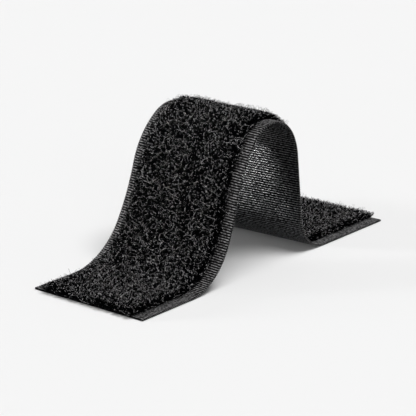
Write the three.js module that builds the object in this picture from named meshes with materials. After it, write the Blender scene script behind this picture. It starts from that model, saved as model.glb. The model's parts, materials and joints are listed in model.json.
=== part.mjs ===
// Strip of black woven loop tape, the soft half of a hook and loop fastener.
// It is bent into an arch that stands on its two flat ends.
// Millimetres. X runs along the strip, Y across it and Z up. The near edge lies at -Y.
import * as THREE from 'three';

// Width and layers of the tape
const tapeWidth = 25;
const selvedgeWidth = 2.3;
const edgeCordDiameter = 0.4;
const coatingThickness = 0.1;
const weaveThickness = 0.26;
const layerGap = 0.06;
const seamGap = 0.08;

// Pile of loops, in rows along the strip
const pileHeight = 1.35;
const pileRowCount = 12;
const pileRowGap = 0.3;
const valleyHeightShare = 0.62;
const crownWidthShare = 0.62;
const loopHeightShares = [1, 0.9, 0.96, 0.86, 0.93];

// Weave pitch along the strip, which every step follows
const pickPitch = 0.465;
const picksPerStep = 2;
const stepsPerFacet = 2;
const stepsPerLoop = 3;
const loopStaggerSteps = 1;

// Lie of the strip: the flat ends, and the length that bends between them
const frontFoot = 12.2;
const rearFoot = 18.7;
const archLength = 60.3;
const farBendLead = 3.1;

// Bent runs of each edge: share of the arch length, and turn in degrees, up positive.
// The straight drop behind the crown and the last bend close the path on the floor.
const nearRunShares = [
  { lengthShare: 0.198, turn: 60.3 },
  { lengthShare: 0.130, turn: 17.3 },
  { lengthShare: 0.210, turn: -26.5 },
  { lengthShare: 0.057, turn: -34 },
  { lengthShare: 0.149, turn: -75 },
  { lengthShare: 0.071, turn: -25.2 },
];
const farRunShares = [
  { lengthShare: 0.254, turn: 58.8 },
  { lengthShare: 0.181, turn: 13.7 },
  { lengthShare: 0.173, turn: -39.2 },
  { lengthShare: 0.049, turn: -25.2 },
  { lengthShare: 0.148, turn: -72.9 },
  { lengthShare: 0.070, turn: -25.2 },
];
const rearBendShare = 0.186;

const weaveColour = 0x17181b;
const selvedgeColour = 0x2b2c2f;
const pileColour = 0x101113;
const coatingColour = 0x14161a;

// Heights of the layers above the underside
const weaveBottom = coatingThickness + layerGap;
const weaveTop = weaveBottom + weaveThickness;
const pileBottom = weaveTop + layerGap;

// Places across the strip, from its middle
const halfWidth = tapeWidth / 2;
const selvedgeOuter = halfWidth - edgeCordDiameter - seamGap;
const selvedgeInner = halfWidth - selvedgeWidth;
const weaveHalfWidth = selvedgeInner - seamGap;
const pileRowPitch = (2 * weaveHalfWidth) / pileRowCount;

// Edge path

// Point and heading at a distance along one run, which is straight or a round arc.
function advance(from, run, distance) {
  const rate = run.turn / run.length;
  const heading = from.heading + rate * distance;
  if (Math.abs(run.turn) < Number.EPSILON) {
    return {
      x: from.x + Math.cos(from.heading) * distance,
      z: from.z + Math.sin(from.heading) * distance,
      heading,
    };
  }
  return {
    x: from.x + (Math.sin(heading) - Math.sin(from.heading)) / rate,
    z: from.z - (Math.cos(heading) - Math.cos(from.heading)) / rate,
    heading,
  };
}

function straight(length) {
  return { length, turn: 0 };
}

// The bent runs, then a straight drop as long as brings the last bend down to the floor.
function archRuns(foot, runShares) {
  const bends = runShares.map(({ lengthShare, turn }) => ({
    length: lengthShare * archLength,
    turn: THREE.MathUtils.degToRad(turn),
  }));
  const rise = [straight(foot), ...bends];
  const top = rise.reduce((at, run) => advance(at, run, run.length), { x: 0, z: 0, heading: 0 });
  const rearBend = { length: rearBendShare * archLength, turn: -top.heading };
  const bendHeight = (rearBend.length / rearBend.turn) * (1 - Math.cos(rearBend.turn));
  const drop = straight((top.z - bendHeight) / Math.sin(-top.heading));
  return [...rise, drop, rearBend];
}

function lengthOf(runs) {
  return runs.reduce((sum, run) => sum + run.length, 0);
}

const nearArch = archRuns(frontFoot, nearRunShares);
const farArch = archRuns(frontFoot - farBendLead, farRunShares);
const cutLength = lengthOf(nearArch) + rearFoot;
const nearRuns = [...nearArch, straight(rearFoot)];
const farRuns = [...farArch, straight(cutLength - lengthOf(farArch))];

function pointOn(runs, distance) {
  let at = { x: 0, z: 0, heading: 0 };
  let left = distance;
  for (const run of runs.slice(0, -1)) {
    if (left <= run.length) {
      return advance(at, run, left);
    }
    at = advance(at, run, run.length);
    left -= run.length;
  }
  return advance(at, runs[runs.length - 1], left);
}

// Facets: the strip is folded along straight rungs, closer than its bends can show

const stepCount = Math.round(cutLength / (pickPitch * picksPerStep));
const stepLength = cutLength / stepCount;

function turnsAround(step) {
  const before = Math.max(step - stepsPerFacet, 0) * stepLength;
  const after = Math.min(step + stepsPerFacet, stepCount) * stepLength;
  return [nearRuns, farRuns].some(
    (runs) => pointOn(runs, before).heading !== pointOn(runs, after).heading,
  );
}

const rungSteps = [];
for (let step = 0; step < stepCount; step += stepsPerFacet) {
  if (step === 0 || turnsAround(step)) {
    rungSteps.push(step);
  }
}
rungSteps.push(stepCount);

// A layer stays parallel to the folded underside: at each rung it lies along the rung's normal.
function rungEnd(runs, index) {
  const { x, z, heading } = pointOn(runs, rungSteps[index] * stepLength);
  return { x, z, lean: { x: -Math.sin(heading), z: Math.cos(heading) } };
}

const rungs = rungSteps.map((step, index) => ({
  step,
  near: rungEnd(nearRuns, index),
  far: rungEnd(farRuns, index),
}));

function mix(a, b, share) {
  return a + (b - a) * share;
}

// A place on the tape: steps along it, y across it and height above its underside.
function place(step, y, height) {
  const next = Math.max(1, rungs.findIndex((rung) => rung.step >= step));
  const [a, b] = [rungs[next - 1], rungs[next]];
  const along = (step - a.step) / (b.step - a.step);
  const across = y / tapeWidth + 1 / 2;
  const edgeAt = (edge, axis) => mix(
    a[edge][axis] + a[edge].lean[axis] * height,
    b[edge][axis] + b[edge].lean[axis] * height,
    along,
  );
  const at = (axis) => mix(edgeAt('near', axis), edgeAt('far', axis), across);
  return new THREE.Vector3(at('x'), y, at('z'));
}

// Solids

// Closed body carried along the strip. A section is two chains of [y, height] points, the
// lower and the upper one, with as many points each, from the near edge to the far edge.
function loft(steps, sectionAt) {
  const sections = steps.map((step) => sectionAt(step).map(
    (chain) => chain.map(([y, height]) => place(step, y, height)),
  ));
  const count = sections[0][0].length;
  const positions = sections.flat(2).flatMap((point) => point.toArray());
  const lower = (row, column) => row * 2 * count + column;
  const upper = (row, column) => lower(row, column) + count;
  const faces = [];
  const quad = (a, b, c, d) => faces.push(a, b, c, a, c, d);
  for (let row = 0; row < steps.length - 1; row += 1) {
    for (let column = 0; column < count - 1; column += 1) {
      quad(upper(row, column), upper(row + 1, column), upper(row + 1, column + 1), upper(row, column + 1));
      quad(lower(row, column), lower(row, column + 1), lower(row + 1, column + 1), lower(row + 1, column));
    }
    const edge = count - 1;
    quad(lower(row, 0), lower(row + 1, 0), upper(row + 1, 0), upper(row, 0));
    quad(lower(row, edge), upper(row, edge), upper(row + 1, edge), lower(row + 1, edge));
  }
  const last = steps.length - 1;
  for (let column = 0; column < count - 1; column += 1) {
    quad(lower(0, column), upper(0, column), upper(0, column + 1), lower(0, column + 1));
    quad(lower(last, column), lower(last, column + 1), upper(last, column + 1), upper(last, column));
  }
  const geometry = new THREE.BufferGeometry();
  geometry.setAttribute('position', new THREE.Float32BufferAttribute(positions, 3));
  geometry.setIndex(faces);
  geometry.computeVertexNormals();
  return geometry;
}

function evenly(from, to, parts) {
  const count = Math.max(1, Math.round(parts));
  return Array.from({ length: count + 1 }, (_, index) => mix(from, to, index / count));
}

// Flat band between two heights, divided across so that it follows the twist of the arch.
function band(nearSide, farSide, bottom, top, parts) {
  const lines = evenly(nearSide, farSide, parts);
  const section = [lines.map((y) => [y, bottom]), lines.map((y) => [y, top])];
  return loft(rungSteps, () => section);
}

function named(name, geometry, colour, roughness, metalness = 0) {
  const material = new THREE.MeshStandardMaterial({ color: colour, roughness, metalness });
  const mesh = new THREE.Mesh(geometry, material);
  mesh.name = name;
  return mesh;
}

// Pieces

const weaveParts = 4;

function backCoating() {
  const side = selvedgeOuter;
  return named('back_coating', band(-side, side, 0, coatingThickness, weaveParts), coatingColour, 0.4);
}

function groundWeave() {
  const side = weaveHalfWidth;
  return named('ground_weave', band(-side, side, weaveBottom, weaveTop, weaveParts), weaveColour, 0.8);
}

// Plain woven border that carries no loops
function selvedge(name, side) {
  const [a, b] = [selvedgeInner * side, selvedgeOuter * side].sort((first, second) => first - second);
  return named(name, band(a, b, weaveBottom, weaveTop, 1), selvedgeColour, 0.6);
}

// Six-sided locking cord along the outer edge, halfway up the tape
function edgeCord(name, side) {
  const radius = edgeCordDiameter / 2;
  const centreY = side * (halfWidth - radius);
  const centreHeight = weaveTop / 2;
  const corner = (degrees) => {
    const angle = THREE.MathUtils.degToRad(degrees);
    return [centreY + radius * Math.cos(angle), centreHeight + radius * Math.sin(angle)];
  };
  const section = [[180, 240, 300].map(corner), [120, 60, 0].map(corner)];
  return named(name, loft(rungSteps, () => section), selvedgeColour, 0.6);
}

// Row of pile loops: narrower at the crown, and low where one loop meets the next
function pileRow(index) {
  const middle = -weaveHalfWidth + pileRowPitch * (index + 1 / 2);
  const halfRoot = (pileRowPitch - pileRowGap) / 2;
  const halfCrown = halfRoot * crownWidthShare;
  const stagger = (index % 2) * loopStaggerSteps;
  const heightAt = (step) => {
    const loop = Math.floor((step + stagger) / stepsPerLoop) + index;
    const isValley = (step + stagger) % stepsPerLoop === 0;
    const share = isValley ? valleyHeightShare : loopHeightShares[loop % loopHeightShares.length];
    return pileBottom + pileHeight * share;
  };
  const steps = evenly(0, stepCount, stepCount).map(Math.round);
  const section = (step) => [
    [[middle - halfRoot, pileBottom], [middle + halfRoot, pileBottom]],
    [[middle - halfCrown, heightAt(step)], [middle + halfCrown, heightAt(step)]],
  ];
  const number = String(index + 1).padStart(2, '0');
  return named(`pile_row_${number}`, loft(steps, section), pileColour, 0.9);
}

const strip = new THREE.Group();
strip.add(backCoating(), groundWeave());
strip.add(selvedge('near_selvedge', -1), selvedge('far_selvedge', 1));
strip.add(edgeCord('near_edge_cord', -1), edgeCord('far_edge_cord', 1));
for (let index = 0; index < pileRowCount; index += 1) {
  strip.add(pileRow(index));
}

// The origin lies on the floor below the middle of the strip.
const endX = [nearRuns, farRuns].map((runs) => pointOn(runs, cutLength).x);
strip.position.x = -Math.max(...endX) / 2;

const tape = new THREE.Group();
tape.add(strip);

export default tape;
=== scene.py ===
"""Strip of black woven loop tape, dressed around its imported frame. Everything is in metres."""
import json
import math

import bpy
import numpy as np
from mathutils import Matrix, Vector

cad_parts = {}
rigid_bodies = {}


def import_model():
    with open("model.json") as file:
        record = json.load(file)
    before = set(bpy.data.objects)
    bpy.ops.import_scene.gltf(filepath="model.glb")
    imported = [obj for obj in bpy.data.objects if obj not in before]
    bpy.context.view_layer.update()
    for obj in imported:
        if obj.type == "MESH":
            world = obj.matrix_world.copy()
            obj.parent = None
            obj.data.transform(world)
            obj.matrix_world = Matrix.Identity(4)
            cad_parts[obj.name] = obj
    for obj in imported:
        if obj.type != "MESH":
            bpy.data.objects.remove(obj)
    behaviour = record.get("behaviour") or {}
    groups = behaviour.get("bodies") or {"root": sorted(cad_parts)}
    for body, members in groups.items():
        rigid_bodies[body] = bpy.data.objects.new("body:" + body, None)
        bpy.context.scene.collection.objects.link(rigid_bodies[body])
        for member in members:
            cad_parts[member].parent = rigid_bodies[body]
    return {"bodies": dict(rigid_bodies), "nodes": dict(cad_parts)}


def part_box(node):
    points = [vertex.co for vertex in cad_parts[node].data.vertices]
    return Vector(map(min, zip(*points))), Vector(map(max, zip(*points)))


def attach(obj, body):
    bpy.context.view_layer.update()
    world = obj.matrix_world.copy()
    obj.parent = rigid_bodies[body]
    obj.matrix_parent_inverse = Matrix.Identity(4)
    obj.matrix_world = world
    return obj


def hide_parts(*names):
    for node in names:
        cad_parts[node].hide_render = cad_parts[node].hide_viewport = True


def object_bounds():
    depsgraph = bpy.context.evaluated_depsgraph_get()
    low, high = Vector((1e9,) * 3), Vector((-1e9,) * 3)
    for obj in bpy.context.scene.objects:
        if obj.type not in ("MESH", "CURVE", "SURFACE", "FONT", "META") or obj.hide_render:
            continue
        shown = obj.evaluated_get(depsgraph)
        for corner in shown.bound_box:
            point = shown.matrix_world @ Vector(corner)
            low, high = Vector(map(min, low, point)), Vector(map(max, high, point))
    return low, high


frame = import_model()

bl_info = {
    "name": "Woven loop tape strip",
    "version": (1, 0, 0),
    "blender": (4, 5, 0),
    "location": "3D View > Sidebar > Loop Tape",
    "description": "Builds a strip of woven loop tape with its pile, weave, selvedges and stage",
    "category": "Mesh",
}

CAD_LOW, CAD_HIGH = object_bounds()
ROOT = next(iter(frame["bodies"]))
MM = 0.001

# Bent runs of each edge: share of the arch length, and turn in degrees, up positive
NEAR_RUN_SHARES = (
    (0.198, 60.3), (0.130, 17.3), (0.210, -26.5), (0.057, -34.0), (0.149, -75.0), (0.071, -25.2),
)
FAR_RUN_SHARES = (
    (0.254, 58.8), (0.181, 13.7), (0.173, -39.2), (0.049, -25.2), (0.148, -72.9), (0.070, -25.2),
)
REAR_BEND_SHARE = 0.186

# Stations to a weft pick along each woven piece, and lines or sides across it
BACK_STATIONS = 4
BACK_FLAT_STATIONS = 1
BACK_LINES = 136
GROUND_STATIONS = 4
GROUND_LINES = 40
BORDER_STATIONS = 7
BORDER_LINES = 15
CORD_STATIONS = 6
CORD_SIDES = 8

# Exponents that shape the height of a pick and the tone that follows it, painted shade in low places
# and painted highlight on high ones, and the floats' share of the relief on the back
RIB_ROUNDNESS = 0.8
BACK_SHARPNESS = 2.5
BACK_TONE = 3
FLOAT_ROUNDNESS = 0.5
FLOAT_SHARE = 0.15
BORDER_SHARPNESS = 1.5
BORDER_TONE = 2
CORD_SHARPNESS = 1.5
CORD_TONE = 3

# Even spread of the loops: steps in shares of a whole, whose multiples never meet
GOLDEN_STEP = (math.sqrt(5) - 1) / 2
SHINY_STEP = math.sqrt(2) / 2

# Least and most lean, against the usual lean, and how far in radians the lean at a rim fans out
RIM_LEAN = (0.6, 1.7)
SHINY_LEAN = (0.1, 0.7)
DULL_LEAN = (0.2, 1.2)
RIM_FAN = 1.0

# Shape of a loop: shares of its usual width, radius and height, how much of the spacing of its
# rings is even, and how deep in the weave its roots stand
WIDTH_RANGE = (0.6, 1.4)
RADIUS_RANGE = (0.8, 1.2)
STRAY_LEAST = 0.85
EVEN_RINGS = 0.45
ROOT_DEPTH = 0.6

# Counts of the slow waves along a loop: out of its plane, and sideways
BEND_WAVES = (2.0, 3.0)

# Painted light of a loop: painted highlight at its crown, how fast painted shade sets in towards
# the roots, and its unevenness
SHINY_PAINTED_HIGHLIGHT = (0.8, 1.0)
DULL_TONES = (0.0, 0.03)
LONG_PAINTED_HIGHLIGHT = 0.8
STRAY_TONE = 0.08
SHINY_SHADE_FALL = 7.0
DULL_SHADE_FALL = 3.0
TONE_CHANGE = (0.3, 1.0)

# Pile finish: painted glints that break up the filaments, steps of the painted highlight, and the fine lint
# on them
NYLON_IOR = 1.53
PILE_ROUGHNESS = 0.3
GLINT_SCALE = 8000.0
GLINT_DETAIL = 1.0
GLINT_RANGE = (0.48, 0.56)
PILE_STOPS = (0.05, 0.22, 0.42)
PILE_MIDDLE = 0.2
PILE_SHINE_RANGE = (0.03, 0.4)
LINT_SCALE = 9000.0
LINT_DETAIL = 2.0
LINT_STRENGTH = 0.25
LINT_DEPTH = 0.02 * MM

# Yarn finish, its patterns in pick units: mottled along the picks, painted shade and dull in low
# places, painted highlight on high ones
PICK_STRETCH = (1.0, 0.6, 1.0)
MOTTLE_SCALE = 1.7
MOTTLE_DETAIL = 4.0
MOTTLE_RANGE = (0.35, 0.65)
MOTTLE_TONES = (0.2, 0.8)
YARN_STOPS = (0.08, 0.3, 0.6)
YARN_PAINTED_LIGHT_STEPS = (0.02, 0.4, 2.2)
YARN_SHINE_RANGE = (0.1, 0.55)
ROUGH_RANGE = (0.25, 0.75)
ROUGH_LESS = 0.07
ROUGH_MORE = 0.1
FIBRE_SCALE = 9.0
FIBRE_DETAIL = 2.0
FIBRE_STRENGTH = 0.5
FIBRE_DEPTH = 0.03 * MM

# Roughness, gloss and refraction of each woven finish
BACK_FINISH = {"roughness": 0.17, "IOR": 1.98}
GROUND_FINISH = {"roughness": 0.55, "gloss": 0.4, "IOR": NYLON_IOR}
BORDER_FINISH = {"roughness": 0.4, "gloss": 0.5, "IOR": 1.5}
CORD_FINISH = {"roughness": 0.36, "IOR": NYLON_IOR}

# Stage: floor rings in metres, lamps in degrees (from +X towards +Y, above the floor, and wide)
FLOOR_RADII = (0.1, 0.4, 1.5, 4.0)
FLOOR_SIDES = 64
FLOOR_GRAIN = 30.0
FLOOR_MOTTLE = 0.997
FLOOR_ROUGHNESS = 0.9
FLOOR_IOR = 1.3
LAMPS = {"top": (290, 74, 34), "fill": (232, 22, 25), "back": (130, 4, 8)}
BACKDROP = 0.92
WALL_TOP, CEILING_EDGE = 0.3, 0.6
SENSOR_MM = 36.0
CLIP_START = 0.01

ROW_NAMES = sorted(name for name in frame["nodes"] if name.startswith("pile_row_"))


def length_property(name, description, default):
    return bpy.props.FloatProperty(
        name=name, description=description, default=default, min=0.0, unit="LENGTH", precision=5
    )


def share_property(name, description, default):
    return bpy.props.FloatProperty(
        name=name, description=description, default=default, min=0.0, subtype="FACTOR"
    )


def angle_property(name, description, degrees):
    return bpy.props.FloatProperty(
        name=name, description=description, default=math.radians(degrees), subtype="ANGLE"
    )


def light_property(name, description, default):
    return bpy.props.FloatProperty(name=name, description=description, default=default, min=0.0)


def colour_property(name, description, default):
    return bpy.props.FloatVectorProperty(
        name=name, description=description, default=default, size=3, min=0.0, max=1.0, subtype="COLOR"
    )


class TapeSizes(bpy.types.PropertyGroup):
    """Sizes of the tape and of its lie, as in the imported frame"""

    front_foot: length_property("Front foot", "Length that lies flat at the front, near edge", 12.2 * MM)
    rear_foot: length_property("Rear foot", "Length that lies flat at the rear, near edge", 18.7 * MM)
    arch_length: length_property("Arch length", "Length that the bent runs share", 60.3 * MM)
    far_bend_lead: length_property("Far bend lead", "How much sooner the far edge leaves the floor", 3.1 * MM)
    coating: length_property("Coating", "Height of the underside of the weave", 0.16 * MM)
    weave: length_property("Weave", "Thickness of the woven ground", 0.26 * MM)
    pick_pitch: length_property("Pick pitch", "Distance from one weft pick to the next", 0.465 * MM)
    knuckle_pitch: length_property("Knuckle pitch", "Distance between weft floats across the back", 0.69 * MM)
    back_relief: length_property("Back relief", "Depth of the weave that shows on the back", 0.1 * MM)
    rib_relief: length_property("Rib relief", "Depth between the ribs of a selvedge", 0.2 * MM)
    bead_relief: length_property("Bead relief", "How far the edge cord swells at each pick", 0.12 * MM)


class PileLook(bpy.types.PropertyGroup):
    """Sizes and counts of the pile loops"""

    loops_per_row: bpy.props.IntProperty(
        name="Loops per row", description="Loops in each pile row", default=4100, min=1, max=5500
    )
    rings: bpy.props.IntProperty(
        name="Rings", description="Points along the path of a loop", default=6, min=4
    )
    height: length_property("Height", "Usual length of a loop from root to crown", 1.32 * MM)
    uneven: share_property("Uneven", "Usual difference of a loop's height from the usual height", 0.04)
    width: length_property("Width", "Usual width of a loop", 0.22 * MM)
    radius: length_property("Bundle radius", "Radius of a dull bundle of filaments", 0.036 * MM)
    # Shiny bundles carry the painted highlight
    shiny_share: share_property("Shiny share", "Share of the bundles that are shiny", 0.245)
    shiny_width: length_property("Shiny width", "Usual width of a shiny loop", 0.34 * MM)
    shiny_radius: length_property("Shiny radius", "Radius of a shiny bundle of filaments", 0.022 * MM)
    shiny_lift: share_property("Shiny lift", "How much taller a shiny loop stands", 0.04)
    stray_share: share_property("Stray share", "Share of the loops that are loose filaments", 0.13)
    stray_radius: length_property("Stray radius", "Radius of a loose filament", 0.018 * MM)
    stray_reach: share_property("Stray reach", "Most height of a loose filament against the usual loop", 1.6)
    stray_width: length_property("Stray width", "Usual width of a loose filament", 0.6 * MM)
    long_share: share_property("Long share", "Share of the loops that are drawn out into wide arcs", 0.02)
    long_width: length_property("Long width", "Usual width of a loop that is drawn out", 2.2 * MM)
    long_lift: share_property("Long lift", "How much taller a drawn-out loop stands", 0.15)
    lean: angle_property("Lean", "Usual lean of a loop from upright", 38)
    rim: length_property("Rim", "How near to a cut end or a border the loops lean outward", 0.5 * MM)
    scatter: length_property("Scatter", "Usual distance of a root from its even place", 0.1 * MM)
    leg_gap: length_property("Leg gap", "Half the distance between the two roots of a loop", 0.12 * MM)
    least_swing: length_property("Least swing", "Least bend of a loop out of its ellipse", 0.03 * MM)
    most_swing: length_property("Most swing", "Most bend of a loop out of its ellipse", 0.14 * MM)
    seed: bpy.props.IntProperty(name="Seed", description="Seed of the random draws", default=11)


class Finishes(bpy.types.PropertyGroup):
    """Colours of the nylon and of the stage"""

    pile_dark: colour_property("Pile, dark", "Colour of the darkest filaments", (0.002, 0.0023, 0.0027))
    # Painted highlight: the pale colour that the black filaments take where they glint
    pile_painted_highlight: colour_property("Pile, light", "Colour of the palest filaments", (1.0, 0.98, 1.0))
    weave: colour_property("Weave", "Colour of the ground weave", (0.008, 0.008, 0.010))
    selvedge: colour_property("Selvedge", "Colour of the selvedges", (0.12, 0.118, 0.12))
    cord: colour_property("Edge cord", "Colour of the edge cords", (0.04, 0.039, 0.04))
    back: colour_property("Back", "Colour of the coated back", (0.066, 0.069, 0.074))
    floor: colour_property("Floor", "Colour of the floor", (0.762, 0.762, 0.762))


class StageLook(bpy.types.PropertyGroup):
    """Camera and light"""

    lens: bpy.props.FloatProperty(
        name="Lens", description="Focal length in millimetres", default=150.4, subtype="DISTANCE_CAMERA"
    )
    distance: length_property("Distance", "Camera to its target", 0.3147)
    target_x: bpy.props.FloatProperty(
        name="Target X", description="Place of the target", default=-2.87 * MM, unit="LENGTH"
    )
    target_z: length_property("Target Z", "Height of the target", 9.42 * MM)
    azimuth: angle_property("Azimuth", "Direction of the camera", -50.83)
    elevation: angle_property("Elevation", "Height of the camera", 17.23)
    walls: light_property("Walls", "Brightness of the walls", 0.22)
    ceiling: light_property("Ceiling", "Brightness of the ceiling", 0.22)
    top: light_property("Top", "Strength of the wide light overhead", 2.97)
    fill: light_property("Fill", "Strength of the light by the camera", 0.22)
    back: light_property("Back", "Strength of the low light behind", 2.6)


# Lie of the strip


def walk(runs, start=(0.0, 0.0, 0.0)):
    """State (x, z, heading) at the end of each run of (length, turn): a straight run goes ahead,
    and a round one of radius length / turn turns by its angle."""
    states = [start]
    for length, turn in runs:
        states.append(ahead(states[-1], length, turn, length))
    return states


def ahead(state, length, turn, distance):
    """State at a distance along one run. Arrays of distances are taken too."""
    x, z, heading = state
    if turn == 0:
        return x + np.cos(heading) * distance, z + np.sin(heading) * distance, heading + 0 * distance
    rate = turn / length
    now = heading + rate * distance
    return x + (np.sin(now) - np.sin(heading)) / rate, z - (np.cos(now) - np.cos(heading)) / rate, now


def arch_runs(foot, run_shares, arch_length):
    """Runs of one edge up to the rear foot. The straight drop is as long as it takes for the
    last bend, which turns back to level, to end on the floor."""
    runs = [(foot, 0.0)]
    runs += [(share * arch_length, math.radians(turn)) for share, turn in run_shares]
    _, top, heading = walk(runs)[-1]
    bend = (REAR_BEND_SHARE * arch_length, -heading)
    bend_height = bend[0] / bend[1] * (1 - math.cos(bend[1]))
    return runs + [((top - bend_height) / math.sin(-heading), 0.0), bend]


def states_along(runs, along):
    """x, z and heading at distances along the runs, as arrays."""
    ends = np.cumsum([length for length, _ in runs])
    starts = np.concatenate([[0.0], ends[:-1]])
    states = walk(runs)
    at = np.zeros((3,) + along.shape)
    for index, (length, turn) in enumerate(runs):
        first, last = index == 0, index == len(runs) - 1
        inside = (along >= starts[index]) | first
        inside &= (along < ends[index]) | last
        at[:, inside] = ahead(states[index], length, turn, along[inside] - starts[index])
    return at


class Lie:
    """The bent strip: turns a place on the flat tape into a place in space."""

    def __init__(self, sizes):
        near = arch_runs(sizes.front_foot, NEAR_RUN_SHARES, sizes.arch_length)
        far = arch_runs(sizes.front_foot - sizes.far_bend_lead, FAR_RUN_SHARES, sizes.arch_length)
        self.length = sum(length for length, _ in near) + sizes.rear_foot
        self.near = near + [(sizes.rear_foot, 0.0)]
        self.far = far + [(self.length - sum(length for length, _ in far), 0.0)]
        self.half_width = CAD_HIGH.y
        self.shift = CAD_LOW.x

    def place(self, along, across, height):
        """Points at a distance along the tape, across it and above its underside. The near and
        the far edge are mixed by the share across, and height follows the normal, which is the
        heading turned up by a right angle."""
        along, across, height = np.broadcast_arrays(along, across, height)
        near, far = states_along(self.near, along), states_along(self.far, along)
        share = across / (2 * self.half_width) + 0.5
        x, z, heading = near + (far - near) * share
        return np.stack([x - np.sin(heading) * height + self.shift, across, z + np.cos(heading) * height], -1)


# Meshes


def mesh_piece(name, points, corners, sizes, material, uv=None, tone=None):
    """A smooth mesh object at the origin. corners lists the corner points of all faces one after
    another, and sizes says how many corners each face has."""
    mesh = bpy.data.meshes.new(name)
    mesh.vertices.add(len(points))
    mesh.vertices.foreach_set("co", points.astype(np.float32).ravel())
    mesh.loops.add(len(corners))
    mesh.loops.foreach_set("vertex_index", corners.astype(np.int32))
    mesh.polygons.add(len(sizes))
    mesh.polygons.foreach_set("loop_start", (np.cumsum(sizes) - sizes).astype(np.int32))
    mesh.polygons.foreach_set("use_smooth", np.ones(len(sizes), dtype=bool))
    if uv is not None:
        layer = mesh.uv_layers.new(name="tape")
        layer.data.foreach_set("uv", uv[corners].astype(np.float32).ravel())
    # tone holds painted light: painted shade in low or deep places and painted highlight on high ones
    if tone is not None:
        values = mesh.attributes.new("tone", "FLOAT", "POINT")
        values.data.foreach_set("value", tone.astype(np.float32))
    mesh.update()
    mesh.validate()
    mesh.materials.append(material)
    piece = bpy.data.objects.new(name, mesh)
    bpy.context.scene.collection.objects.link(piece)
    return piece


def sweep(name, lie, along, across, height, tone, material, pick_pitch):
    """Closed body carried along the tape. across and height are (stations, ring) arrays: each
    ring runs round the section, along its underside towards the far edge and back on top. Walls
    join ring to ring, and one face closes each end."""
    stations, ring = across.shape
    points = lie.place(along[:, None], across, height)
    index = np.arange(stations * ring).reshape(stations, ring)
    after = np.roll(index, -1, axis=1)
    walls = np.stack([index[:-1], after[:-1], after[1:], index[1:]], -1).reshape(-1)
    corners = np.concatenate([walls, index[0, ::-1], index[-1]])
    sizes = np.concatenate([np.full(len(walls) // 4, 4), [ring, ring]])
    uv = np.stack([np.broadcast_to(along[:, None], across.shape), across], -1).reshape(-1, 2) / pick_pitch
    return mesh_piece(name, points.reshape(-1, 3), corners, sizes, material, uv=uv, tone=tone.ravel())


def slab(name, lie, along, lower, upper, material, pick_pitch):
    """Sweep of a flat section. lower and upper each give the lines across, and the heights and
    tones along them (painted shade low, painted highlight high), from the near side to the far side."""
    across = np.concatenate([lower[0], upper[0][::-1]])
    height, tone = [
        np.concatenate([np.broadcast_to(under, (len(along), len(lower[0]))),
                        np.broadcast_to(over, (len(along), len(upper[0])))[:, ::-1]], axis=1)
        for under, over in zip(lower[1:], upper[1:])
    ]
    return sweep(name, lie, along, np.tile(across, (len(along), 1)), height, tone, material, pick_pitch)


def tubes(name, paths, side_hint, radius, material, tone, sides=3):
    """Thin closed tubes along many paths at once. Each ring of points stands square to the path:
    one axis is the path's direction crossed with side_hint, and the other one completes it."""
    count, steps, _ = paths.shape
    direction = np.gradient(paths, axis=1)
    direction /= np.linalg.norm(direction, axis=-1, keepdims=True)
    first = np.cross(direction, side_hint[:, None])
    first /= np.linalg.norm(first, axis=-1, keepdims=True)
    second = np.cross(direction, first)
    angle = np.arange(sides) * 2 * np.pi / sides
    around = np.cos(angle)[:, None] * first[:, :, None] + np.sin(angle)[:, None] * second[:, :, None]
    points = paths[:, :, None] + around * radius[:, None, None, None]
    index = np.arange(count * steps * sides).reshape(count, steps, sides)
    after = np.roll(index, -1, axis=2)
    walls = np.stack([index[:, :-1], after[:, :-1], after[:, 1:], index[:, 1:]], -1).reshape(-1)
    ends = np.concatenate([index[:, 0, ::-1].reshape(-1), index[:, -1].reshape(-1)])
    sizes = np.concatenate([np.full(len(walls) // 4, 4), np.full(2 * count, sides)])
    tones = np.repeat(tone.ravel(), sides)
    return mesh_piece(name, points.reshape(-1, 3), np.concatenate([walls, ends]), sizes, material, tone=tones)


def finish_piece(piece, slot, *nodes):
    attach(piece, ROOT)
    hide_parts(*nodes)


# Materials


class Shader:
    """A new material with a Principled shader, and short ways to add and join its nodes."""

    def __init__(self, name, **values):
        self.material = bpy.data.materials.new(name)
        self.material.use_nodes = True
        self.tree = self.material.node_tree
        self.shader = self.tree.nodes["Principled BSDF"]
        for socket, value in values.items():
            self.shader.inputs[socket.replace("_", " ")].default_value = value

    def node(self, kind, inputs=None, **settings):
        made = self.tree.nodes.new(kind)
        for key, value in settings.items():
            setattr(made, key, value)
        for key, value in (inputs or {}).items():
            if isinstance(value, bpy.types.NodeSocket):
                self.tree.links.new(value, made.inputs[key])
            else:
                made.inputs[key].default_value = value
        return made

    def into(self, socket, source):
        self.tree.links.new(source, self.shader.inputs[socket])

    def noise(self, vector, scale, detail):
        made = self.node("ShaderNodeTexNoise", {"Vector": vector, "Scale": scale, "Detail": detail})
        return made.outputs["Fac"]

    def spread(self, value, ends, low, high):
        """The value, stretched so that its two ends become low and high."""
        return self.node("ShaderNodeMapRange", {
            "Value": value, "From Min": ends[0], "From Max": ends[1], "To Min": low, "To Max": high,
        }).outputs["Result"]

    def times(self, one, other):
        return self.node("ShaderNodeMath", {0: one, 1: other}, operation="MULTIPLY").outputs[0]

    def bump(self, height, strength, depth):
        made = self.node("ShaderNodeBump", {"Height": height, "Strength": strength, "Distance": depth})
        self.into("Normal", made.outputs["Normal"])

    def ramp(self, factor, stops):
        """Colour ramp with stops of (position, colour)."""
        made = self.node("ShaderNodeValToRGB", {"Fac": factor})
        elements = made.color_ramp.elements
        while len(elements) < len(stops):
            elements.new(0.5)
        for element, (position, colour) in zip(elements, stops):
            element.position = position
            element.color = (*colour, 1.0)
        return made.outputs["Color"]


def shade(colour, factor):
    return tuple(min(1.0, channel * factor) for channel in colour)


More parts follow.
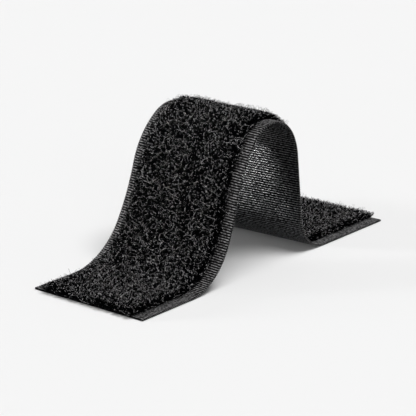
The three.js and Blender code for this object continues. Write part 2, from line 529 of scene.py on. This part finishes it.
def pile_material(finishes):
    """Nylon filaments: the tone of each point, painted highlight and painted shade, is broken up by painted
    glints, and goes from black through a dim middle to a pale painted highlight. The pale points shine, and
    fine lint roughens them all."""
    made = Shader("pile_nylon", Roughness=PILE_ROUGHNESS, IOR=NYLON_IOR)
    tone = made.node("ShaderNodeAttribute", attribute_name="tone").outputs["Fac"]
    place = made.node("ShaderNodeTexCoord").outputs["Object"]
    # Painted glints: noise that breaks the painted highlight into short dashes
    glint = made.spread(made.noise(place, GLINT_SCALE, GLINT_DETAIL), GLINT_RANGE, 0.0, 1.0)
    mixed = made.times(tone, glint)
    colours = finishes.pile_dark, shade(finishes.pile_painted_highlight, PILE_MIDDLE), finishes.pile_painted_highlight
    made.into("Base Color", made.ramp(mixed, tuple(zip(PILE_STOPS, colours))))
    made.into("Specular IOR Level", made.spread(mixed, PILE_SHINE_RANGE, 0.0, 1.0))
    made.bump(made.noise(place, LINT_SCALE, LINT_DETAIL), LINT_STRENGTH, LINT_DEPTH)
    return made.material


def yarn_material(name, colour, roughness, gloss=1.0, **values):
    """Woven nylon: tone holds how far a point stands out of the weave. Low points are painted in shade and
    dull, and high ones get a painted highlight and shine. Noise drawn out along the picks gives the yarn its
    uneven tone."""
    made = Shader(name, **values)
    tone = made.node("ShaderNodeAttribute", attribute_name="tone").outputs["Fac"]
    picks = made.node("ShaderNodeUVMap", uv_map="tape").outputs["UV"]
    stretch = made.node("ShaderNodeMapping", {"Vector": picks, "Scale": PICK_STRETCH}).outputs["Vector"]
    mottle = made.noise(stretch, MOTTLE_SCALE, MOTTLE_DETAIL)
    mixed = made.times(tone, made.spread(mottle, MOTTLE_RANGE, *MOTTLE_TONES))
    colours = [shade(colour, factor) for factor in YARN_PAINTED_LIGHT_STEPS]
    made.into("Base Color", made.ramp(mixed, tuple(zip(YARN_STOPS, colours))))
    made.into("Specular IOR Level", made.spread(mixed, YARN_SHINE_RANGE, 0.0, gloss))
    rough = made.spread(mottle, ROUGH_RANGE, roughness - ROUGH_LESS, roughness + ROUGH_MORE)
    made.into("Roughness", rough)
    made.bump(made.noise(stretch, FIBRE_SCALE, FIBRE_DETAIL), FIBRE_STRENGTH, FIBRE_DEPTH)
    return made.material


# Relief of the weave


def stations_by_pick(pick_pitch, start, end, per_pick):
    """Distances along the tape from start to end, per_pick to a pick."""
    count = max(2, int(round((end - start) / pick_pitch * per_pick)) + 1)
    return np.linspace(start, end, count)


def rib(along, pick_pitch):
    """Height share of a weft pick: a half sine over each pick, rounded at its crown."""
    return np.abs(np.sin(np.pi * along / pick_pitch)) ** RIB_ROUNDNESS


def knuckle(along, across, pick_pitch, knuckle_pitch):
    """Height share of the weft floats: a cosine across the tape that shifts by half a float from
    one pick to the next, as in a plain weave."""
    pick = np.floor(along / pick_pitch)
    phase = across / knuckle_pitch + (pick % 2) / 2
    return (1 + np.cos(2 * np.pi * phase)) / 2


# Operators


class PieceOperator:
    bl_options = {"REGISTER", "UNDO"}

    @staticmethod
    def settings(context):
        scene = context.scene
        return scene.tape_sizes, scene.tape_finishes, Lie(scene.tape_sizes)


class TAPE_OT_back_coating(PieceOperator, bpy.types.Operator):
    """Coated back, whose underside draws back where the crest is low. The crest is the height share
    of the pick to a power, and follows the rounded float across it in the floats' share of relief"""

    bl_idname = "tape.back_coating"
    bl_label = "Back coating"

    def execute(self, context):
        sizes, finishes, lie = self.settings(context)
        pitch = sizes.pick_pitch
        half_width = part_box("back_coating")[1].y
        arch_start = sizes.front_foot - sizes.far_bend_lead
        arch_end = lie.length - sizes.rear_foot
        along = np.concatenate([
            stations_by_pick(pitch, 0.0, arch_start, BACK_FLAT_STATIONS)[:-1],
            stations_by_pick(pitch, arch_start, arch_end, BACK_STATIONS)[:-1],
            stations_by_pick(pitch, arch_end, lie.length, BACK_FLAT_STATIONS),
        ])
        lines = np.linspace(-half_width, half_width, BACK_LINES)
        grid_along, grid_across = np.meshgrid(along, lines, indexing="ij")
        floats = knuckle(grid_along, grid_across, pitch, sizes.knuckle_pitch) ** FLOAT_ROUNDNESS
        crest = rib(grid_along, pitch) ** BACK_SHARPNESS * (1 - FLOAT_SHARE + FLOAT_SHARE * floats)
        # Tone, the crest to a power: painted shade in the gaps and painted highlight on the floats
        lower = (lines, sizes.back_relief * (1 - crest), crest ** BACK_TONE)
        upper = (lines[[0, -1]], sizes.coating, 0.0)
        material = yarn_material("coated_back_nylon", finishes.back, **BACK_FINISH)
        piece = slab("back_film", lie, along, lower, upper, material, pitch)
        finish_piece(piece, "coating", "back_coating")
        return {"FINISHED"}


class TAPE_OT_ground_weave(PieceOperator, bpy.types.Operator):
    """Woven ground that holds the roots of the loops: a flat band whose top sinks by the rib
    relief where the height share of the pick falls from one to nothing"""

    bl_idname = "tape.ground_weave"
    bl_label = "Ground weave"

    def execute(self, context):
        sizes, finishes, lie = self.settings(context)
        pitch = sizes.pick_pitch
        half_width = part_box("ground_weave")[1].y
        along = stations_by_pick(pitch, 0.0, lie.length, GROUND_STATIONS)
        lines = np.linspace(-half_width, half_width, GROUND_LINES)
        crest = rib(along, pitch)[:, None]
        lower = (lines[[0, -1]], sizes.coating, 0.0)
        # The crest is also the tone: painted shade between the picks and painted highlight on them
        upper = (lines, sizes.coating + sizes.weave - sizes.rib_relief * (1 - crest), crest)
        material = yarn_material("ground_nylon", finishes.weave, **GROUND_FINISH)
        piece = slab("ground_cloth", lie, along, lower, upper, material, pitch)
        finish_piece(piece, "weave", "ground_weave")
        return {"FINISHED"}


class TAPE_OT_selvedges(PieceOperator, bpy.types.Operator):
    """Plain ribbed borders, which carry no loops: flat bands from the ground weave to the middle
    of the edge cord, whose tops sink by the rib relief between sharpened picks"""

    bl_idname = "tape.selvedges"
    bl_label = "Selvedges"

    def execute(self, context):
        sizes, finishes, lie = self.settings(context)
        pitch = sizes.pick_pitch
        material = yarn_material("selvedge_nylon", finishes.selvedge, **BORDER_FINISH)
        along = stations_by_pick(pitch, 0.0, lie.length, BORDER_STATIONS)
        crown = sizes.coating + sizes.weave
        ground_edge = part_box("ground_weave")[1].y
        for side, sign in (("near", -1), ("far", 1)):
            cord_low, cord_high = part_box(f"{side}_edge_cord")
            ends = sorted((sign * ground_edge, (cord_low.y + cord_high.y) / 2))
            lines = np.linspace(*ends, BORDER_LINES)
            crest = np.broadcast_to(rib(along, pitch)[:, None] ** BORDER_SHARPNESS, (len(along), len(lines)))
            lower = (lines[[0, -1]], sizes.coating, 0.0)
            # Tone, the crest squared: painted shade between the ribs and painted highlight on them
            upper = (lines, crown - sizes.rib_relief * (1 - crest), crest ** BORDER_TONE)
            piece = slab(f"{side}_border", lie, along, lower, upper, material, pitch)
            finish_piece(piece, "selvedge", f"{side}_selvedge")
        return {"FINISHED"}


class TAPE_OT_edge_cords(PieceOperator, bpy.types.Operator):
    """Locking cord along each outer edge, beaded by the picks that turn round it: a round tube
    whose radius swells with the height share of the pick, to a power"""

    bl_idname = "tape.edge_cords"
    bl_label = "Edge cords"

    def execute(self, context):
        sizes, finishes, lie = self.settings(context)
        pitch = sizes.pick_pitch
        material = yarn_material("edge_cord_nylon", finishes.cord, **CORD_FINISH)
        along = stations_by_pick(pitch, 0.0, lie.length, CORD_STATIONS)
        angle = np.arange(CORD_SIDES) * 2 * np.pi / CORD_SIDES - np.pi
        crest = rib(along, pitch) ** CORD_SHARPNESS
        for side in ("near", "far"):
            low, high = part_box(f"{side}_edge_cord")
            radius = (high.y - low.y) / 2
            swell = radius + sizes.bead_relief * (crest - 1)
            across = (low.y + high.y) / 2 + swell[:, None] * np.cos(angle)
            height = (sizes.coating + sizes.weave) / 2 + swell[:, None] * np.sin(angle)
            # Tone, the crest to a power: painted shade between the beads and painted highlight on them
            tone = np.broadcast_to(crest[:, None] ** CORD_TONE, across.shape)
            piece = sweep(f"{side}_cord", lie, along, across, height, tone, material, pitch)
            finish_piece(piece, "selvedge", f"{side}_edge_cord")
        return {"FINISHED"}


class TAPE_OT_pile(PieceOperator, bpy.types.Operator):
    """Pile loops, one piece for each row: thin tubes along leaning ellipses that stand on their
    roots and are bent by two slow waves"""

    bl_idname = "tape.pile"
    bl_label = "Pile loops"

    def execute(self, context):
        sizes, finishes, lie = self.settings(context)
        look = context.scene.tape_pile
        draw = np.random.default_rng(look.seed)
        material = pile_material(finishes)
        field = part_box("ground_weave")[1].y
        for name in ROW_NAMES:
            low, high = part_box(name)
            middle, half = (low.y + high.y) / 2, (high.y - low.y) / 2
            paths, side_hint, radius, tone = loop_paths(draw, look, sizes, lie, middle, half, field)
            piece = tubes(name.replace("pile_row", "loops"), paths, side_hint, radius, material, tone)
            finish_piece(piece, "pile", name)
        return {"FINISHED"}


def loop_kinds(draw, look):
    """Which loops of a row are loose filaments, drawn out or shiny. The shiny ones are dealt out
    evenly: each loop goes on by an irrational step, and shines where it falls in their share."""
    kind = draw.random(look.loops_per_row)
    dealt = (np.arange(look.loops_per_row) * SHINY_STEP + draw.random()) % 1
    return kind < look.stray_share, kind > 1 - look.long_share, dealt < look.shiny_share


def root_places(draw, look, lie, middle, half, field):
    """Roots along and across the flat tape. Equal steps along the row go with golden-ratio steps
    across it, which leaves no bare spots, and each root is then moved a little at random."""
    count = look.loops_per_row
    along = np.linspace(0.0, lie.length, count) + draw.normal(0, look.scatter, count)
    spread = 2 * (np.arange(count) * GOLDEN_STEP % 1) - 1
    across = middle + half * spread + draw.normal(0, look.scatter, count)
    edge = 2 * look.radius
    return np.clip(along, edge, lie.length - edge), np.clip(across, edge - field, field - edge)


def leans(draw, look, lie, along, across, field, shiny):
    """Way and angle of each loop's lean. Inside the field it goes any way, and less for a shiny
    loop. Near a cut end or a border it goes outward, over the nearer of the two."""
    count = len(along)
    from_end = np.minimum(along, lie.length - along)
    from_border = field - np.abs(across)
    at_rim = np.minimum(from_end, from_border) < look.rim
    over_end = np.where(along < lie.length / 2, np.pi, 0.0)
    outward = np.where(from_end < from_border, over_end, np.sign(across) * np.pi / 2)
    fanned = outward + draw.uniform(-RIM_FAN, RIM_FAN, count)
    toward = np.where(at_rim, fanned, draw.uniform(-np.pi, np.pi, count))
    least = np.select([at_rim, shiny], [RIM_LEAN[0], SHINY_LEAN[0]], DULL_LEAN[0])
    most = np.select([at_rim, shiny], [RIM_LEAN[1], SHINY_LEAN[1]], DULL_LEAN[1])
    return toward, look.lean * draw.uniform(least, most)


def loop_shapes(draw, look, stray, long, shiny, turn):
    """Loops as seen from the side: the sine of the turn goes across, and one minus its cosine goes
    up, which makes an ellipse that stands on its root. A steady shift draws its two legs apart,
    and two slow waves bend it, sideways and out of its plane."""
    count = look.loops_per_row
    usual = draw.normal(1 + look.long_lift * long + look.shiny_lift * shiny, look.uneven)
    height = look.height * np.where(stray, draw.uniform(STRAY_LEAST, look.stray_reach, count), usual)
    width = np.select([long, stray, shiny], [look.long_width, look.stray_width, look.shiny_width], look.width)
    width = width * draw.uniform(*WIDTH_RANGE, count)
    sideways = -np.sin(turn) / 2 * width[:, None] + (turn / np.pi - 1) * look.leg_gap
    up = (1 - np.cos(turn)) / 2 * height[:, None]
    phase = draw.uniform(0, 2 * np.pi, (count, 2, 1))
    swing = draw.uniform(look.least_swing, look.most_swing, (count, 2, 1))
    bend = swing * np.sin(np.array(BEND_WAVES)[None, :, None] * turn + phase) * np.sin(turn / 2)
    return sideways + bend[:, 1], up, bend[:, 0]


def loop_painted_light(draw, look, stray, long, shiny, turn):
    """Painted light along each loop: a painted highlight at the crown that falls off into painted shade
    towards the roots, faster on a shiny loop, and changes from point to point. A drawn-out loop carries the
    painted highlight along its whole length."""
    count = look.loops_per_row
    # Painted highlight on a shiny loop, near black on a dull one
    bright = np.where(shiny, draw.uniform(*SHINY_PAINTED_HIGHLIGHT, count), draw.uniform(*DULL_TONES, count))
    base = np.select([long, stray], [LONG_PAINTED_HIGHLIGHT, STRAY_TONE], bright)
    shade_fall = np.where(shiny, SHINY_SHADE_FALL, DULL_SHADE_FALL)[:, None]
    # Painted shade: the loop darkens from its crown down towards its roots, deep in the pile
    crown = ((1 - np.cos(turn)) / 2) ** shade_fall
    change = draw.uniform(*TONE_CHANGE, (count, len(turn)))
    return base[:, None] * np.where(long[:, None], 1.0, crown) * change


def loop_paths(draw, look, sizes, lie, middle, half, field):
    """Paths of the loops of one row, with a hint square to each loop, its radius and its tones of painted
    light. The rings go round by even steps mixed with their cubes, which sets them close at the crown. Each
    one lies at its root plus its shifts along the loop's side, its lean and square to both."""
    count = look.loops_per_row
    stray, long, shiny = loop_kinds(draw, look)
    along, across = root_places(draw, look, lie, middle, half, field)
    toward, lean = leans(draw, look, lie, along, across, field, shiny)
    even = np.linspace(-1.0, 1.0, look.rings)
    turn = np.pi * (1 + EVEN_RINGS * even + (1 - EVEN_RINGS) * even ** 3)
    sideways, up, out = loop_shapes(draw, look, stray, long, shiny, turn)
    facing = draw.uniform(0, 2 * np.pi, count)
    side_axis = np.stack([np.cos(facing), np.sin(facing), 0 * facing], -1)
    up_axis = np.stack([np.sin(lean) * np.cos(toward), np.sin(lean) * np.sin(toward), np.cos(lean)], -1)
    out_axis = np.cross(side_axis, up_axis)
    out_axis /= np.linalg.norm(out_axis, axis=-1, keepdims=True)
    path = sum(
        shift[..., None] * axis[:, None]
        for shift, axis in ((sideways, side_axis), (up, up_axis), (out, out_axis))
    )
    root = sizes.coating + ROOT_DEPTH * sizes.weave
    height = root + np.maximum(path[..., 2], 0.0)
    points = lie.place(along[:, None] + path[..., 0], across[:, None] + path[..., 1], height)
    aside = out_axis * MM
    beside = lie.place(along + aside[:, 0], across + aside[:, 1], root + aside[:, 2])
    radius = np.where(shiny, look.shiny_radius, look.radius) * draw.uniform(*RADIUS_RANGE, count)
    radius = np.where(stray | long, look.stray_radius, radius)
    hint = beside - lie.place(along, across, root)
    return points, hint, radius, loop_painted_light(draw, look, stray, long, shiny, turn)


class TAPE_OT_stage(PieceOperator, bpy.types.Operator):
    """Pale floor, soft light and the camera"""

    bl_idname = "tape.stage"
    bl_label = "Stage"

    def execute(self, context):
        scene = context.scene
        look, finishes = scene.tape_stage, scene.tape_finishes
        self.floor(finishes)
        self.world(scene, look)
        for name, directions in LAMPS.items():
            self.lamp(scene, name, getattr(look, name), *directions)
        self.camera(scene, look)
        scene.view_settings.view_transform = "Standard"
        return {"FINISHED"}

    @staticmethod
    def floor(finishes):
        """Round floor: rings of points out to a wide edge, joined by quads, round one fan."""
        count, sides = len(FLOOR_RADII), FLOOR_SIDES
        angle = np.linspace(0, 2 * np.pi, sides, endpoint=False)
        radii = np.array(FLOOR_RADII)[:, None]
        rings = np.stack([radii * np.cos(angle), radii * np.sin(angle), np.zeros((count, sides))], -1)
        points = np.concatenate([np.zeros((1, 3)), rings.reshape(-1, 3)])
        index = 1 + np.arange(count * sides).reshape(count, sides)
        after = np.roll(index, -1, axis=1)
        walls = np.stack([index[:-1], index[1:], after[1:], after[:-1]], -1).reshape(-1)
        middle = np.stack([np.zeros(sides, int), index[0], after[0]], -1).reshape(-1)
        sizes = np.concatenate([np.full(len(walls) // 4, 4), np.full(sides, 3)])
        made = Shader("floor_paper", Roughness=FLOOR_ROUGHNESS, IOR=FLOOR_IOR, Specular_IOR_Level=0.0)
        place = made.node("ShaderNodeTexCoord").outputs["Object"]
        grain = made.node("ShaderNodeTexNoise", {"Vector": place, "Scale": FLOOR_GRAIN}).outputs["Fac"]
        shades = ((0.0, shade(finishes.floor, FLOOR_MOTTLE)), (1.0, finishes.floor))
        made.into("Base Color", made.ramp(grain, shades))
        mesh_piece("floor", points, np.concatenate([walls, middle]), sizes, made.material)

    @staticmethod
    def world(scene, look):
        """Walls that pass into the ceiling, each as bright as it is set. The camera sees a plain
        pale backdrop instead."""
        world = bpy.data.worlds.new("surround")
        world.use_nodes = True
        tree = world.node_tree
        room = tree.nodes["Background"]
        room.inputs["Color"].default_value = (1.0, 1.0, 1.0, 1.0)
        backdrop = tree.nodes.new("ShaderNodeBackground")
        backdrop.inputs["Color"].default_value = (BACKDROP, BACKDROP, BACKDROP, 1.0)
        toward = tree.nodes.new("ShaderNodeTexCoord")
        axes = tree.nodes.new("ShaderNodeSeparateXYZ")
        height = tree.nodes.new("ShaderNodeMapRange")
        height.inputs["From Min"].default_value = WALL_TOP
        height.inputs["From Max"].default_value = CEILING_EDGE
        height.inputs["To Min"].default_value = look.walls
        height.inputs["To Max"].default_value = look.ceiling
        rays = tree.nodes.new("ShaderNodeLightPath")
        mix = tree.nodes.new("ShaderNodeMixShader")
        for source, socket in (
            (toward.outputs["Generated"], axes.inputs[0]),
            (axes.outputs["Z"], height.inputs["Value"]),
            (height.outputs["Result"], room.inputs["Strength"]),
            (rays.outputs["Is Camera Ray"], mix.inputs["Fac"]),
            (room.outputs[0], mix.inputs[1]),
            (backdrop.outputs[0], mix.inputs[2]),
            (mix.outputs[0], tree.nodes["World Output"].inputs["Surface"]),
        ):
            tree.links.new(source, socket)
        scene.world = world

    @staticmethod
    def lamp(scene, name, strength, azimuth, elevation, spread):
        """One far lamp. Its azimuth is counted from +X towards +Y, and spread is its angle."""
        light = bpy.data.lights.new(name, "SUN")
        light.energy = strength
        light.angle = math.radians(spread)
        lamp = bpy.data.objects.new(name, light)
        lamp.rotation_euler = (0.0, math.radians(90 - elevation), math.radians(azimuth))
        scene.collection.objects.link(lamp)

    @staticmethod
    def camera(scene, look):
        """Camera at its distance from the target, turned round it and up by the two angles."""
        cam = bpy.data.cameras.new("camera")
        cam.lens = look.lens
        cam.sensor_width = SENSOR_MM
        cam.clip_start = CLIP_START
        eye = bpy.data.objects.new("camera", cam)
        flat = math.cos(look.elevation)
        back = np.array([
            math.sin(look.azimuth) * flat,
            -math.cos(look.azimuth) * flat,
            math.sin(look.elevation),
        ])
        eye.location = np.array([look.target_x, 0.0, look.target_z]) + back * look.distance
        eye.rotation_euler = (math.pi / 2 - look.elevation, 0.0, look.azimuth)
        scene.collection.objects.link(eye)
        scene.camera = eye


class TAPE_OT_cloth(PieceOperator, bpy.types.Operator):
    """Lists the names of the back, borders, cords and loop rows, and does nothing more with them"""

    bl_idname = "tape.cloth"
    bl_label = "Declare the cloth"

    def execute(self, context):
        sizes, _, lie = self.settings(context)
        names = ["back_film", "near_border", "far_border", "near_cord", "far_cord"]
        names += [name.replace("pile_row", "loops") for name in ROW_NAMES]
        return {"FINISHED"}


class TAPE_PT_panel(bpy.types.Panel):
    """Lists the operators and the settings of the tape in the sidebar"""

    bl_idname = "TAPE_PT_panel"
    bl_label = "Loop tape"
    bl_space_type = "VIEW_3D"
    bl_region_type = "UI"
    bl_category = "Loop Tape"

    def draw(self, context):
        for operator in OPERATORS:
            self.layout.operator(operator.bl_idname)
        for name, kind in GROUPS.items():
            column = self.layout.column()
            for key in kind.__annotations__:
                column.prop(getattr(context.scene, name), key)


OPERATORS = (
    TAPE_OT_back_coating,
    TAPE_OT_ground_weave,
    TAPE_OT_selvedges,
    TAPE_OT_edge_cords,
    TAPE_OT_pile,
    TAPE_OT_stage,
    TAPE_OT_cloth,
)
GROUPS = {
    "tape_sizes": TapeSizes,
    "tape_pile": PileLook,
    "tape_finishes": Finishes,
    "tape_stage": StageLook,
}


def register():
    for group in GROUPS.values():
        bpy.utils.register_class(group)
    for name, group in GROUPS.items():
        setattr(bpy.types.Scene, name, bpy.props.PointerProperty(type=group))
    for operator in OPERATORS:
        bpy.utils.register_class(operator)
    bpy.utils.register_class(TAPE_PT_panel)


def unregister():
    bpy.utils.unregister_class(TAPE_PT_panel)
    for operator in reversed(OPERATORS):
        bpy.utils.unregister_class(operator)
    for name, group in GROUPS.items():
        delattr(bpy.types.Scene, name)
        bpy.utils.unregister_class(group)


def main():
    register()
    bpy.ops.tape.back_coating()
    bpy.ops.tape.ground_weave()
    bpy.ops.tape.selvedges()
    bpy.ops.tape.edge_cords()
    bpy.ops.tape.pile()
    bpy.ops.tape.stage()
    bpy.ops.tape.cloth()


if __name__ == "__main__":
    main()
